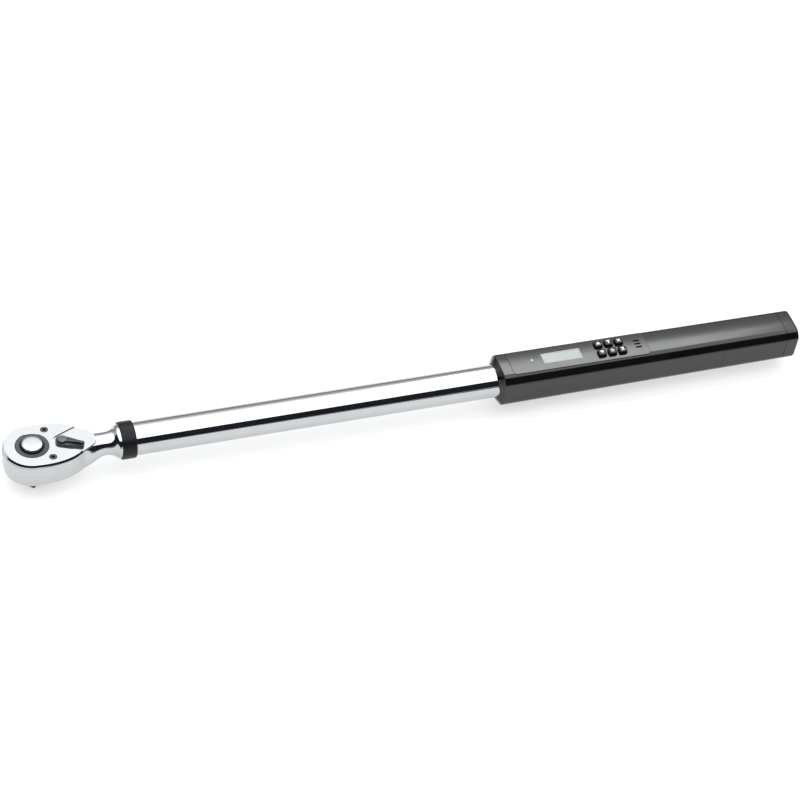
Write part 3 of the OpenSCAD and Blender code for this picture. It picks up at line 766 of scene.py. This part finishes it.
def make_spring(m):
    """coil spring under the release button's roof, one fixed shape"""
    r, wire, z0, z1, turns, per_turn = 4.6, 0.48, 12.65, 23.55, 5.5, 36
    around = [math.tau * i / 10 for i in range(10)]
    rings = []
    steps = round(turns * per_turn)
    for k in range(steps + 1):
        t = math.tau * k / per_turn
        out = Vector((math.cos(t), math.sin(t), 0))
        z = z0 + (z1 - z0) * k / steps
        rings.append([out * (r + wire * math.cos(a))
                      + Vector((0, 0, z + wire * math.sin(a))) for a in around])
    obj = solid("release_spring_coil", loft(rings))
    finish_piece(obj, m["steel"], None, ["release_spring"], 50)
    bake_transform(obj)


def lever_outline(g):
    """foot of the lever seen from above, pointing along +X from its pivot"""
    side = smooth_line([(3.8, 4.45), (7.2, 3.9), (12.2, 3.05), (15.2, 2.75), (16.6, 2.3),
                        (17.15, 1.2), (17.25, 0)], 5)
    turn = math.radians(60)
    arc = [polar(5.0, turn + (math.tau - 2 * turn) * k / 40) for k in range(41)]
    return grow(mirrored(side, arc), g)


def lever_ridge_mesh():
    """thumb ridge: cross sections along the arm, rounded on top and dropping at the tip"""
    spine = smooth_line([
        (1.0, 1.75, 1.35), (3.5, 1.55, 1.45), (6.5, 1.3, 1.6), (10.0, 1.1, 1.85),
        (13.0, 1.05, 2.05), (15.0, 1.15, 1.9), (16.2, 1.0, 1.2), (16.7, 0.6, 0.3)], 4)
    base = LEDGE_Z - 0.9
    rings = []
    for x, half, height in spine:
        side = LEDGE_Z + height - 0.35
        ring = [Vector((x, -half, base)), Vector((x, -half, side))]
        for k in range(1, 8):
            t = math.pi * (1 - k / 8)
            ring.append(Vector((x, half * 0.98 * math.cos(t), side + 0.35 * math.sin(t))))
        rings.append(ring + [Vector((x, half, side)), Vector((x, half, base))])
    return loft(rings)


def make_lever(m):
    """lever with its boss, ridge, shaft, cam and lower stub, and the disc on its pivot"""
    low_z = PLATE_TOP - 0.85
    foot = stack([(low_z, lever_outline(-0.15)), (low_z + 0.15, lever_outline(0)),
                  (LEDGE_Z - 0.35, lever_outline(0)), (LEDGE_Z - 0.12, lever_outline(-0.1)),
                  (LEDGE_Z, lever_outline(-0.32))])
    cap_seat = PLATE_TOP + 1.8
    obj = solid("reverse_lever_sculpted", foot)
    boss = lathe([(3.9, LEDGE_Z - 1), (3.9, cap_seat + 0.3), (3.75, cap_seat + 0.5)], 72)
    shaft = lathe([(3.0, 18.7), (3.0, LEDGE_Z - 0.8)], 48)
    cam = place(lathe([(2.1, 6), (2.1, 19.0)], 48), 0.0, (-0.95, 0, 0))
    stub = lathe([(1.2, 2.6), (1.4, 2.8), (1.4, 7.0)], 32)
    carve(obj, [boss, lever_ridge_mesh(), shaft, cam, stub], "UNION")
    carve(obj, [lathe([(3.55, cap_seat), (3.55, cap_seat + 3)], 72)])
    spin = Matrix.Translation(Vector((LEVER_X, 0, 0)) * MM) @ Matrix.Rotation(
        math.radians(LEVER_REST), 4, "Z")
    obj.data.transform(spin)
    finish_piece(obj, m["lever_black"], "lever", ["reverse_lever"], 30)
    prof = [(0, cap_seat), (3.5, cap_seat), (3.5, cap_seat + 0.65), (3.3, cap_seat + 0.86),
            (1.6, cap_seat + 0.92), (0, cap_seat + 0.93)]
    obj = solid("lever_pivot_disc", place(lathe(prof, 64), 0.0, (LEVER_X, 0, 0)))
    finish_piece(obj, m["grey_metal"], "lever", ["lever_pivot_cap"], 30)


# ---- tube and collar ------------------------------------------------------------------

def make_tube(m):
    """chromed tube and the black ring on its front end"""
    inner = TUBE_R - TUBE_WALL
    prof = [(TUBE_R - 0.3, TUBE_START), (TUBE_R, TUBE_START + 0.3),
            (TUBE_R, TUBE_END - 0.3), (TUBE_R - 0.3, TUBE_END),
            (inner, TUBE_END), (inner, TUBE_START)]
    obj = solid("tube_polished", lathe(prof, 256, "X", wrap=True))
    finish_piece(obj, m["chrome_tube"], "frame", ["tube"], 40)
    r = COLLAR_R
    edge = [(r - 0.9, 0), (r - 0.45, 0.12), (r - 0.12, 0.45), (r, 0.9), (r + 0.04, 3)]
    prof = [(SLEEVE_R, TUBE_START)] + [(q, TUBE_START + d) for q, d in edge]
    prof += [(q, COLLAR_END - d) for q, d in reversed(edge)] + [(SLEEVE_R, COLLAR_END)]
    obj = solid("collar_ring_satin", lathe(prof, 128, "X", wrap=True))
    finish_piece(obj, m["soft_black"], "frame", ["collar_ring"], 30)


# ---- handle ---------------------------------------------------------------------------

# section's corners about the tube's axis
CORNERS = [(14.2, -16.2), (17.1, 9.4), (12.3, 15.2), (0, 15.75), (-12.3, 15.2),
           (-17.1, 9.4), (-14.2, -16.2)]
SECTION_STEPS = 8
RING_GAP = 12.0  # about the distance between two sections of the handle
CROWN_Z = 15.72  # height, fall and half width of the handle's crowned top
CROWN_FALL = 0.5
CROWN_HALF = 12.3
BOARD_ROOM = (394, 494.6, -11.3, 11.3)  # x and y of the opening below the panel
OVER = 40  # height clear of the handle's top


def handle_section(w=0.0):
    """handle section about the tube's axis, with its walls moved in by w"""
    corners = []
    for y, z in CORNERS:
        s = 1 if y > 0 else -1
        if z < 0:
            corners.append((y - s * w, z + w))
        elif z < 12:
            corners.append((y - s * w, z - 0.35 * w))
        elif y:
            corners.append((y - s * 0.6 * w, z - w))
        else:
            corners.append((0, z - w))
    radii = [6.8 - 0.8 * w, 3, 5, 150 - 25 * w, 5, 3, 6.8 - 0.8 * w]
    return rounded_polygon(corners, radii, SECTION_STEPS)


def taper(x):
    return TAPER_START - TAPER_RATE * (x - TAPER_FROM)


def section_at(x, w=0.0, scale=None):
    """handle section in space at x, scaled by the taper or by a scale of its own"""
    s = taper(x) if scale is None else scale
    return [Vector((x, p.x * s, AXIS_Z + p.y * s)) for p in handle_section(w)]


def ring_at(x, r):
    """circle about the tube's axis whose points sit opposite those of the handle section"""
    out = []
    for p in handle_section():
        q = p.normalized() * r
        out.append(Vector((x, q.x, AXIS_Z + q.y)))
    return out


def blend_rings(a, b, t, x):
    """ring at x, part of the way from ring a to ring b"""
    return [Vector((x, p.y + (q.y - p.y) * t, p.z + (q.z - p.z) * t))
            for p, q in zip(a, b)]


def handle_xs(x0, x1):
    n = max(2, round((x1 - x0) / RING_GAP))
    return [x0 + (x1 - x0) * k / n for k in range(n + 1)]


def handle_top_at(x, y):
    """height of the handle's crowned top, in millimetres"""
    s = taper(x)
    return AXIS_Z + s * (CROWN_Z - CROWN_FALL * (y / s / CROWN_HALF) ** 2)


def moved(outline, x, y):
    return [Vector((p.x + x, p.y + y)) for p in outline]


def panel_outline(g):
    """outline of the control panel, grown by g"""
    length = PANEL_END - PANEL_START + 2 * g
    pts = rounded_box(length, 2 * (PANEL_HALF + g), PANEL_R + g, 6)
    return moved(pts, (PANEL_START + PANEL_END) / 2, 0)


def make_handle(m):
    """hollow shell: bore, nose, grip, and the openings for the panel and the door"""
    full = section_at(NOSE_END)
    lip = ring_at(HANDLE_START, SLEEVE_R + 0.55)
    rings = [ring_at(TUBE_END + 0.4, SLEEVE_R), ring_at(HANDLE_START + 0.35, SLEEVE_R),
             ring_at(HANDLE_START + 0.08, SLEEVE_R + 0.2), lip]
    for t, share in ((0.06, 0.12), (0.5, 0.5), (0.94, 0.9)):
        x = HANDLE_START + (NOSE_END - HANDLE_START) * share
        rings.append(blend_rings(lip, full, t, x))
    rings.append(section_at(NOSE_END - 0.12, 0.0, taper(NOSE_END) * 0.994))
    rings += [section_at(x) for x in handle_xs(NOSE_END + 0.25, HANDLE_END - 0.15)]
    rings.append(section_at(HANDLE_END, 0.0, taper(HANDLE_END) * 0.991))
    rings += [section_at(x, SHELL_WALL) for x in (HANDLE_END, TUBE_END + 0.4)]
    obj = solid("handle_shell_moulded", loft(rings, wrap=True))
    carve(obj, [prism(panel_outline(0.28), PANEL_UNDER - 0.05, OVER),
                block(*BOARD_ROOM, AXIS_Z, OVER),
                block(DOOR_START - SEAM, HANDLE_END + 1, -25, 25, -20, DOOR_TOP + SEAM)])
    finish_piece(obj, m["handle_black"], "frame", ["handle_shell"], 28)


def make_door(m):
    """trough-shaped rear underside of the handle"""
    rings = [section_at(DOOR_START, 0.0, taper(DOOR_START) * 0.992)]
    rings += [section_at(x) for x in handle_xs(DOOR_START + 0.15, HANDLE_END - 0.15)]
    rings.append(section_at(HANDLE_END, 0.0, taper(HANDLE_END) * 0.992))
    rings += [section_at(x, SHELL_WALL) for x in (HANDLE_END, DOOR_START)]
    obj = solid("battery_door_moulded", loft(rings, wrap=True))
    carve(obj, [block(DOOR_START - 5, HANDLE_END + 5, -30, 30, DOOR_TOP, 60)])
    finish_piece(obj, m["handle_black"], "battery_door",
                 ["battery_door"], 28)


def make_end_cap(m):
    """cap with a rounded back and a hollow plug that goes into the shell"""
    back = CAP_END
    plug, plug_in, plug_out = CAP_START - 2.6, 4.1, SHELL_WALL + 0.15
    shoulder = back - 2.2
    rings = [section_at(plug, plug_in), section_at(plug, plug_out),
             section_at(CAP_START, plug_out),
             section_at(CAP_START, 0.0, taper(CAP_START) * 0.991),
             section_at(CAP_START + 0.15), section_at(shoulder)]
    for k in range(1, 7):
        t = math.radians(15 * k)
        shrink = taper(back) * (1 - 0.075 * (1 - math.cos(t)))
        rings.append(section_at(shoulder + 2.0 * math.sin(t), 0.0, shrink))
    rings.append(section_at(back, 0.0, taper(back) * 0.6))
    bm = loft(rings, caps=False)
    bm.verts.ensure_lookup_table()
    n = len(rings[0])
    total = len(bm.verts)
    bm.faces.new([bm.verts[i] for i in range(total - n, total)])
    first = [bm.verts[i] for i in range(n)]
    inner = [bm.verts.new(p) for p in section_at(shoulder, plug_in)]
    for i in range(n):
        j = (i + 1) % n
        bm.faces.new((first[j], first[i], inner[i], inner[j]))
    bm.faces.new(list(reversed(inner)))
    obj = solid("end_cap_moulded", bm)
    finish_piece(obj, m["handle_black"], "frame", ["end_cap"], 28)


def panel_slab():
    """thin slab whose top follows the crown of the handle"""
    nx, ny = 30, 16
    x0, x1 = PANEL_START - 3, PANEL_END + 3
    half = PANEL_HALF + 2
    bm = bmesh.new()
    top, under = {}, {}
    for i in range(nx + 1):
        for j in range(ny + 1):
            x = x0 + (x1 - x0) * i / nx
            y = -half + 2 * half * j / ny
            top[i, j] = bm.verts.new((x, y, handle_top_at(x, y) + 0.04))
            under[i, j] = bm.verts.new((x, y, PANEL_UNDER))
    for i in range(nx):
        for j in range(ny):
            a, b, c, d = (i, j), (i + 1, j), (i + 1, j + 1), (i, j + 1)
            bm.faces.new((top[a], top[b], top[c], top[d]))
            bm.faces.new((under[a], under[d], under[c], under[b]))
    rim = [(i, 0) for i in range(nx)] + [(nx, j) for j in range(ny)]
    rim += [(i, ny) for i in range(nx, 0, -1)] + [(0, j) for j in range(ny, 0, -1)]
    for a, b in zip(rim, rim[1:] + rim[:1]):
        bm.faces.new((top[a], under[a], under[b], top[b]))
    return bm


def key_spots():
    """name, centre x and y of each key"""
    out = []
    for key in ("up", "peak", "clear", "down", "power", "unit"):
        name = "key_" + key
        a, b = low(name), high(name)
        out.append((name, (a.x + b.x) / 2, (a.y + b.y) / 2))
    return out


def make_panel(m):
    """panel with its openings for the display, keys, lamp and sound"""
    obj = solid("control_panel_satin", panel_slab())
    carve(obj, [prism(panel_outline(0.0), PANEL_UNDER - 3, 45)], "INTERSECT")
    cx = (WINDOW_START + WINDOW_END) / 2
    window = rounded_box(WINDOW_END - WINDOW_START, 2 * WINDOW_HALF, 0.4, 3)
    key = rounded_box(KEY_W + 0.6, KEY_W + 0.6, 1.5, 5)
    slot = rounded_box(5.4, 1.7, 0.8, 5)
    tools = [prism(moved(window, cx, 0), *PANEL_CUT)]
    tools += [prism(moved(key, x, y), *PANEL_CUT) for _, x, y in key_spots()]
    tools.append(hole(LENS_X, 0, 1.42, *PANEL_CUT, steps=32))
    tools += [prism(moved(slot, SLOT_X, y), *PANEL_CUT) for y in SLOT_Y]
    carve(obj, tools)
    bevel(obj, 0.22, 2, 50)
    finish_piece(obj, m["panel_black"], "frame", ["control_panel"], 24)


def make_display(m):
    """grey bezel, display face and the domed lamp in front of them"""
    cx = (WINDOW_START + WINDOW_END) / 2
    wx, wy = WINDOW_END - WINDOW_START, 2 * WINDOW_HALF
    top = handle_top_at(cx, 0) - 0.35
    frame_out = moved(rounded_box(wx - 0.06, wy - 0.06, 0.4, 3), cx, 0)
    frame_in = moved(rounded_box(wx - 2.0, wy - 1.9, 0.4, 3), cx, 0)
    under = PANEL_UNDER + 0.1
    levels = [(under, frame_out), (top - 0.1, frame_out), (top, grow(frame_out, -0.1)),
              (top, grow(frame_in, 0.08)), (top - 0.1, frame_in), (under, frame_in)]
    rings = [[Vector((p.x, p.y, z)) for p in outline] for z, outline in levels]
    obj = solid("display_bezel", loft(rings, wrap=True))
    finish_piece(obj, m["display"], "frame", ["display_window"], 30)
    glass = [(under, grow(frame_in, -0.03)), (top - 0.22, grow(frame_in, -0.03)),
             (top - 0.15, grow(frame_in, -0.12))]
    obj = solid("display_face", stack(glass))
    finish_piece(obj, m["window"], "frame", [], 30)
    z = handle_top_at(LENS_X, 0)
    base = low("indicator_lens").z
    prof = [(0, base), (2.2, base), (2.2, base + 2), (1.38, base + 2), (1.38, z - 0.1),
            (1.25, z + 0.12), (0.9, z + 0.3), (0.45, z + 0.38), (0, z + 0.4)]
    obj = solid("indicator_lens_domed", place(lathe(prof, 32), 0.0, (LENS_X, 0, 0)))
    finish_piece(obj, m["lens"], "frame", ["indicator_lens"], 40)


def bar(x0, y0, x1, y1, w):
    """thin strip between two points, as an outline"""
    a, b = Vector((x0, y0)), Vector((x1, y1))
    t = (b - a).normalized() * w / 2
    n = Vector((-t.y, t.x))
    return [a - t - n, b + t - n, b + t + n, a - t + n]


def cross(reach, half):
    """diagonal cross as one outline"""
    quarter = [(reach, -half), (reach, half), (half, half)]
    out = []
    for k in range(4):
        turn = Matrix.Rotation(math.radians(90 * k + 45), 2)
        out += [turn @ Vector(p) for p in quarter]
    return out


def icon_shapes():
    """outlines of the key symbols, in millimetres about the key's centre, with +Y up"""
    arc = [Vector((1.15 * math.cos(t), 1.15 * math.sin(t) - 0.1))
           for t in (math.radians(125 + 290 * k / 20) for k in range(21))]
    inner = [p * 0.62 + Vector((0, -0.04)) for p in reversed(arc)]
    return {
        "key_up": [[(-1.5, -1.1), (1.5, -1.1), (0, 1.4)]],
        "key_down": [[(-1.5, 1.1), (0, -1.4), (1.5, 1.1)]],
        "key_peak": [[(-1.5, 1.3), (-0.35, -0.1), (-0.35, -1.4), (0.35, -1.4), (0.35, -0.1),
                      (1.5, 1.3)]],
        "key_clear": [cross(1.5, 0.31)],
        "key_power": [arc + inner, bar(0, 0.15, 0, 1.25, 0.5)],
        "key_unit": [[(-1.35, 1.3), (-0.28, 0), (-1.35, -1.3), (1.35, -1.3), (0.28, 0),
                      (1.35, 1.3)]],
    }


def icon_mesh(shapes, z, x, y):
    """symbol printed on a key, its outlines turned anticlockwise"""
    parts = []
    for pts in shapes:
        pts = [Vector(p) * ICON_SCALE for p in pts]
        area = sum(a.x * b.y - b.x * a.y for a, b in zip(pts, pts[1:] + pts[:1]))
        if area < 0:
            pts.reverse()
        parts.append(stack([(z - 0.25, pts), (z + 0.05, pts)]))
    return place(join(*parts), 0.0, (x, y, 0))


def key_mesh(base_z, top_z):
    """key with a stem, a flange under the panel and a cushioned top"""
    def ring(z, w, r):
        return [Vector((p.x, p.y, z)) for p in rounded_box(w, w, r, 5)]

    def round_ring(z, r):
        return [Vector((*(p.normalized() * r), z)) for p in rounded_box(2, 2, 0.3, 5)]

    flange = PANEL_UNDER - 1.8
    stem_r, w, wide = 1.8, KEY_W, KEY_W + 1.5
    rings = [round_ring(base_z, stem_r), round_ring(flange, stem_r),
             ring(flange, wide, 1.2), ring(flange + 1.4, wide, 1.2),
             ring(flange + 1.41, w, 1.2),
             ring(top_z - 0.75, w - 0.05, 1.25), ring(top_z - 0.42, w - 0.25, 1.3),
             ring(top_z - 0.18, w - 0.7, 1.4), ring(top_z - 0.05, w - 1.5, 1.4),
             ring(top_z, w - 3.2, 1.2), ring(top_z + 0.02, w - 5.2, 0.5)]
    return loft(rings)


def make_keys(m):
    """six keys, each with its symbol"""
    shapes = icon_shapes()
    for name, x, y in key_spots():
        top = high(name).z
        bm = place(key_mesh(low(name).z, top), 0.0, (x, y, 0))
        obj = solid(name + "_moulded", bm)
        finish_piece(obj, m["key_rubber"], name, [name], 35)
        obj = solid(name + "_symbol", icon_mesh(shapes[name], top, x, y))
        finish_piece(obj, m["print"], name, [], 30)


# ---- inner pieces that keep their CAD shape --------------------------------------------

def dress_cad_nodes(m):
    """puts one material in every slot of each inner node"""
    finishes = {
        "steel": ["gear_washer", "release_pin", "detent_ball", "pawl", "pawl_pin",
                  "load_beam", "key_domes", "board_screws"],
        "foil": ["strain_gauges"],
        "lead": ["sensor_lead"],
        "plug": ["tube_end_plug"],
        "display": ["display_module"],
        "board": ["circuit_board"],
        "inner_black": ["buzzer", "battery_carrier"],
        "cells": ["batteries"],
        "brass": ["battery_contacts"],
    }
    for key, names in finishes.items():
        for name in names:
            mesh = NODES[name].data
            if len(mesh.materials) == 0:
                mesh.materials.append(m[key])
            for i in range(len(mesh.materials)):
                mesh.materials[i] = m[key]


# ---- studio ---------------------------------------------------------------------------

AIM = Vector((0.29168, 0.0, -0.00465 + AXIS_Z * MM))
AZIMUTH = math.radians(-22.86)
ELEVATION = math.radians(43.77)
ROLL = math.radians(7.1)
DISTANCE = 2.4816
LENS_MM = 143.87
SENSOR_MM = 36.0
TENT = [(0.0, 0.14), (0.2, 0.2), (0.45, 0.38), (0.58, 0.68), (0.68, 0.9), (0.8, 1.0)]
TENT_LEAN = -0.15
TENT_STRENGTH = 2.5
FLOOR_HALF = 12.0
CARD_LIFT = 0.0003  # cards above the floor, in metres
CARD_RANGE = (-3.9, -0.36)  # y range of the cards on the floor


def make_camera():
    """camera that looks at AIM"""
    right = Vector((math.cos(AZIMUTH), math.sin(AZIMUTH), 0))
    back = Vector((math.sin(AZIMUTH) * math.cos(ELEVATION),
                   -math.cos(AZIMUTH) * math.cos(ELEVATION), math.sin(ELEVATION)))
    up = back.cross(right)
    x = right * math.cos(ROLL) + up * math.sin(ROLL)
    y = up * math.cos(ROLL) - right * math.sin(ROLL)
    cam = bpy.data.cameras.new("camera")
    cam.lens = LENS_MM
    cam.sensor_width = SENSOR_MM
    cam.clip_start = 0.01
    cam.clip_end = 100.0
    obj = new_object("camera", cam)
    matrix = Matrix((x, y, back)).transposed().to_4x4()
    matrix.translation = AIM + back * DISTANCE
    obj.matrix_world = matrix
    bpy.context.scene.camera = obj


def make_world():
    """white tent: brightest overhead and behind the camera, dim low down on the far side"""
    world = bpy.data.worlds.new("studio")
    bpy.context.scene.world = world
    world.use_nodes = True
    tree = world.node_tree
    back = tree.nodes["Background"]
    coords = tree.nodes.new("ShaderNodeTexCoord")
    split = tree.nodes.new("ShaderNodeSeparateXYZ")
    lean = maths(tree, "MULTIPLY_ADD", split.outputs["Y"], TENT_LEAN, split.outputs["Z"])
    ramp = tree.nodes.new("ShaderNodeValToRGB")
    while len(ramp.color_ramp.elements) < len(TENT):
        ramp.color_ramp.elements.new(0.5)
    for e, (pos, v) in zip(ramp.color_ramp.elements, TENT):
        e.position = pos
        e.color = (v * 0.985, v, v * 1.015, 1)
    tree.links.new(coords.outputs["Generated"], split.inputs[0])
    tree.links.new(lean, ramp.inputs["Fac"])
    tree.links.new(ramp.outputs["Color"], back.inputs["Color"])
    back.inputs["Strength"].default_value = TENT_STRENGTH


def reflected_only(obj):
    """a card that is seen only in the polished parts"""
    obj.visible_camera = False
    obj.visible_diffuse = False
    obj.visible_shadow = False
    obj.visible_transmission = False


def sheet(name, rows, material):
    """open mesh through rows of points in metres"""
    bm = bmesh.new()
    grid = [[bm.verts.new(p) for p in row] for row in rows]
    for a, b in zip(grid, grid[1:]):
        for i in range(len(a) - 1):
            bm.faces.new((a[i], a[i + 1], b[i + 1], b[i]))
    obj = mesh_object(name, bm)
    obj.data.materials.append(material)
    return obj


def wall(name, radius, edges, material):
    """curved card round the object: edges are (azimuth, low elevation, high elevation)"""
    rows = [[], []]
    lows = [(az, lo) for az, lo, _ in edges]
    highs = [(az, hi) for az, _, hi in edges]
    for k in range(97):
        az = edges[0][0] + (edges[-1][0] - edges[0][0]) * k / 96
        for row, line in zip(rows, (lows, highs)):
            h = radius * math.tan(math.radians(value_at(line, az)))
            t = math.radians(az)
            row.append((AIM.x + radius * math.cos(t), radius * math.sin(t), AIM.z + h))
    reflected_only(sheet(name, rows, material))


def flat_card(name, x0, x1, material):
    """card that lies on the floor, in front of the object"""
    z = FLOOR_Z * MM + CARD_LIFT
    rows = [[(x0, y, z), (x1, y, z)] for y in CARD_RANGE]
    reflected_only(sheet(name, rows, material))


def glow_card(name, centre, aim, width, height, strength):
    """bright rectangle facing a point"""
    mat, _, shader, _ = new_material(name)
    shader.inputs["Base Color"].default_value = (0, 0, 0, 1)
    shader.inputs["Emission Color"].default_value = (0.97, 0.99, 1.0, 1)
    shader.inputs["Emission Strength"].default_value = strength
    centre = Vector(centre)
    d = (Vector(aim) - centre).normalized()
    u = d.cross(Vector((0, 0, 1))).normalized() * width / 2
    v = u.cross(d).normalized() * height / 2
    rows = [[centre - u - v, centre + u - v], [centre - u + v, centre + u + v]]
    reflected_only(sheet(name, rows, mat))


def make_studio(m):
    """floor, dark cards that draw the chrome's edges, and the soft box's reflection"""
    bm = bmesh.new()
    bmesh.ops.create_grid(bm, x_segments=1, y_segments=1, size=FLOOR_HALF)
    floor = mesh_object("floor", bm)
    floor.data.materials.append(m["floor"])
    floor.location = (AIM.x, 0, (FLOOR_Z - 0.2) * MM)
    card, _, shader, _ = new_material("black_card")
    shader.inputs["Base Color"].default_value = (0.018, 0.021, 0.026, 1)
    shader.inputs["Roughness"].default_value = 1.0
    shader.inputs["Specular IOR Level"].default_value = 0.0
    wall("dark_card", 4.0, [(162, 2, 30), (200, 2, 38), (215, 3, 41), (345, 3, 41)], card)
    flat_card("dark_edge_left", -3.0, 0.17, card)
    flat_card("dark_edge_right", 0.46, 4.0, card)
    glow_card("soft_box", (1.11, 1.2, 1.72), (0.45, 0, 0.03), 0.52, 0.7, 7.2)
    bpy.context.scene.view_settings.view_transform = "Standard"


def main():
    m = make_materials()
    make_camera()
    make_world()
    make_studio(m)
    for make in (make_head, make_plate, make_screws, make_gear, make_button, make_spring,
                 make_lever, make_tube, make_handle, make_door, make_end_cap, make_panel,
                 make_display, make_keys, dress_cad_nodes):
        make(m)


main()
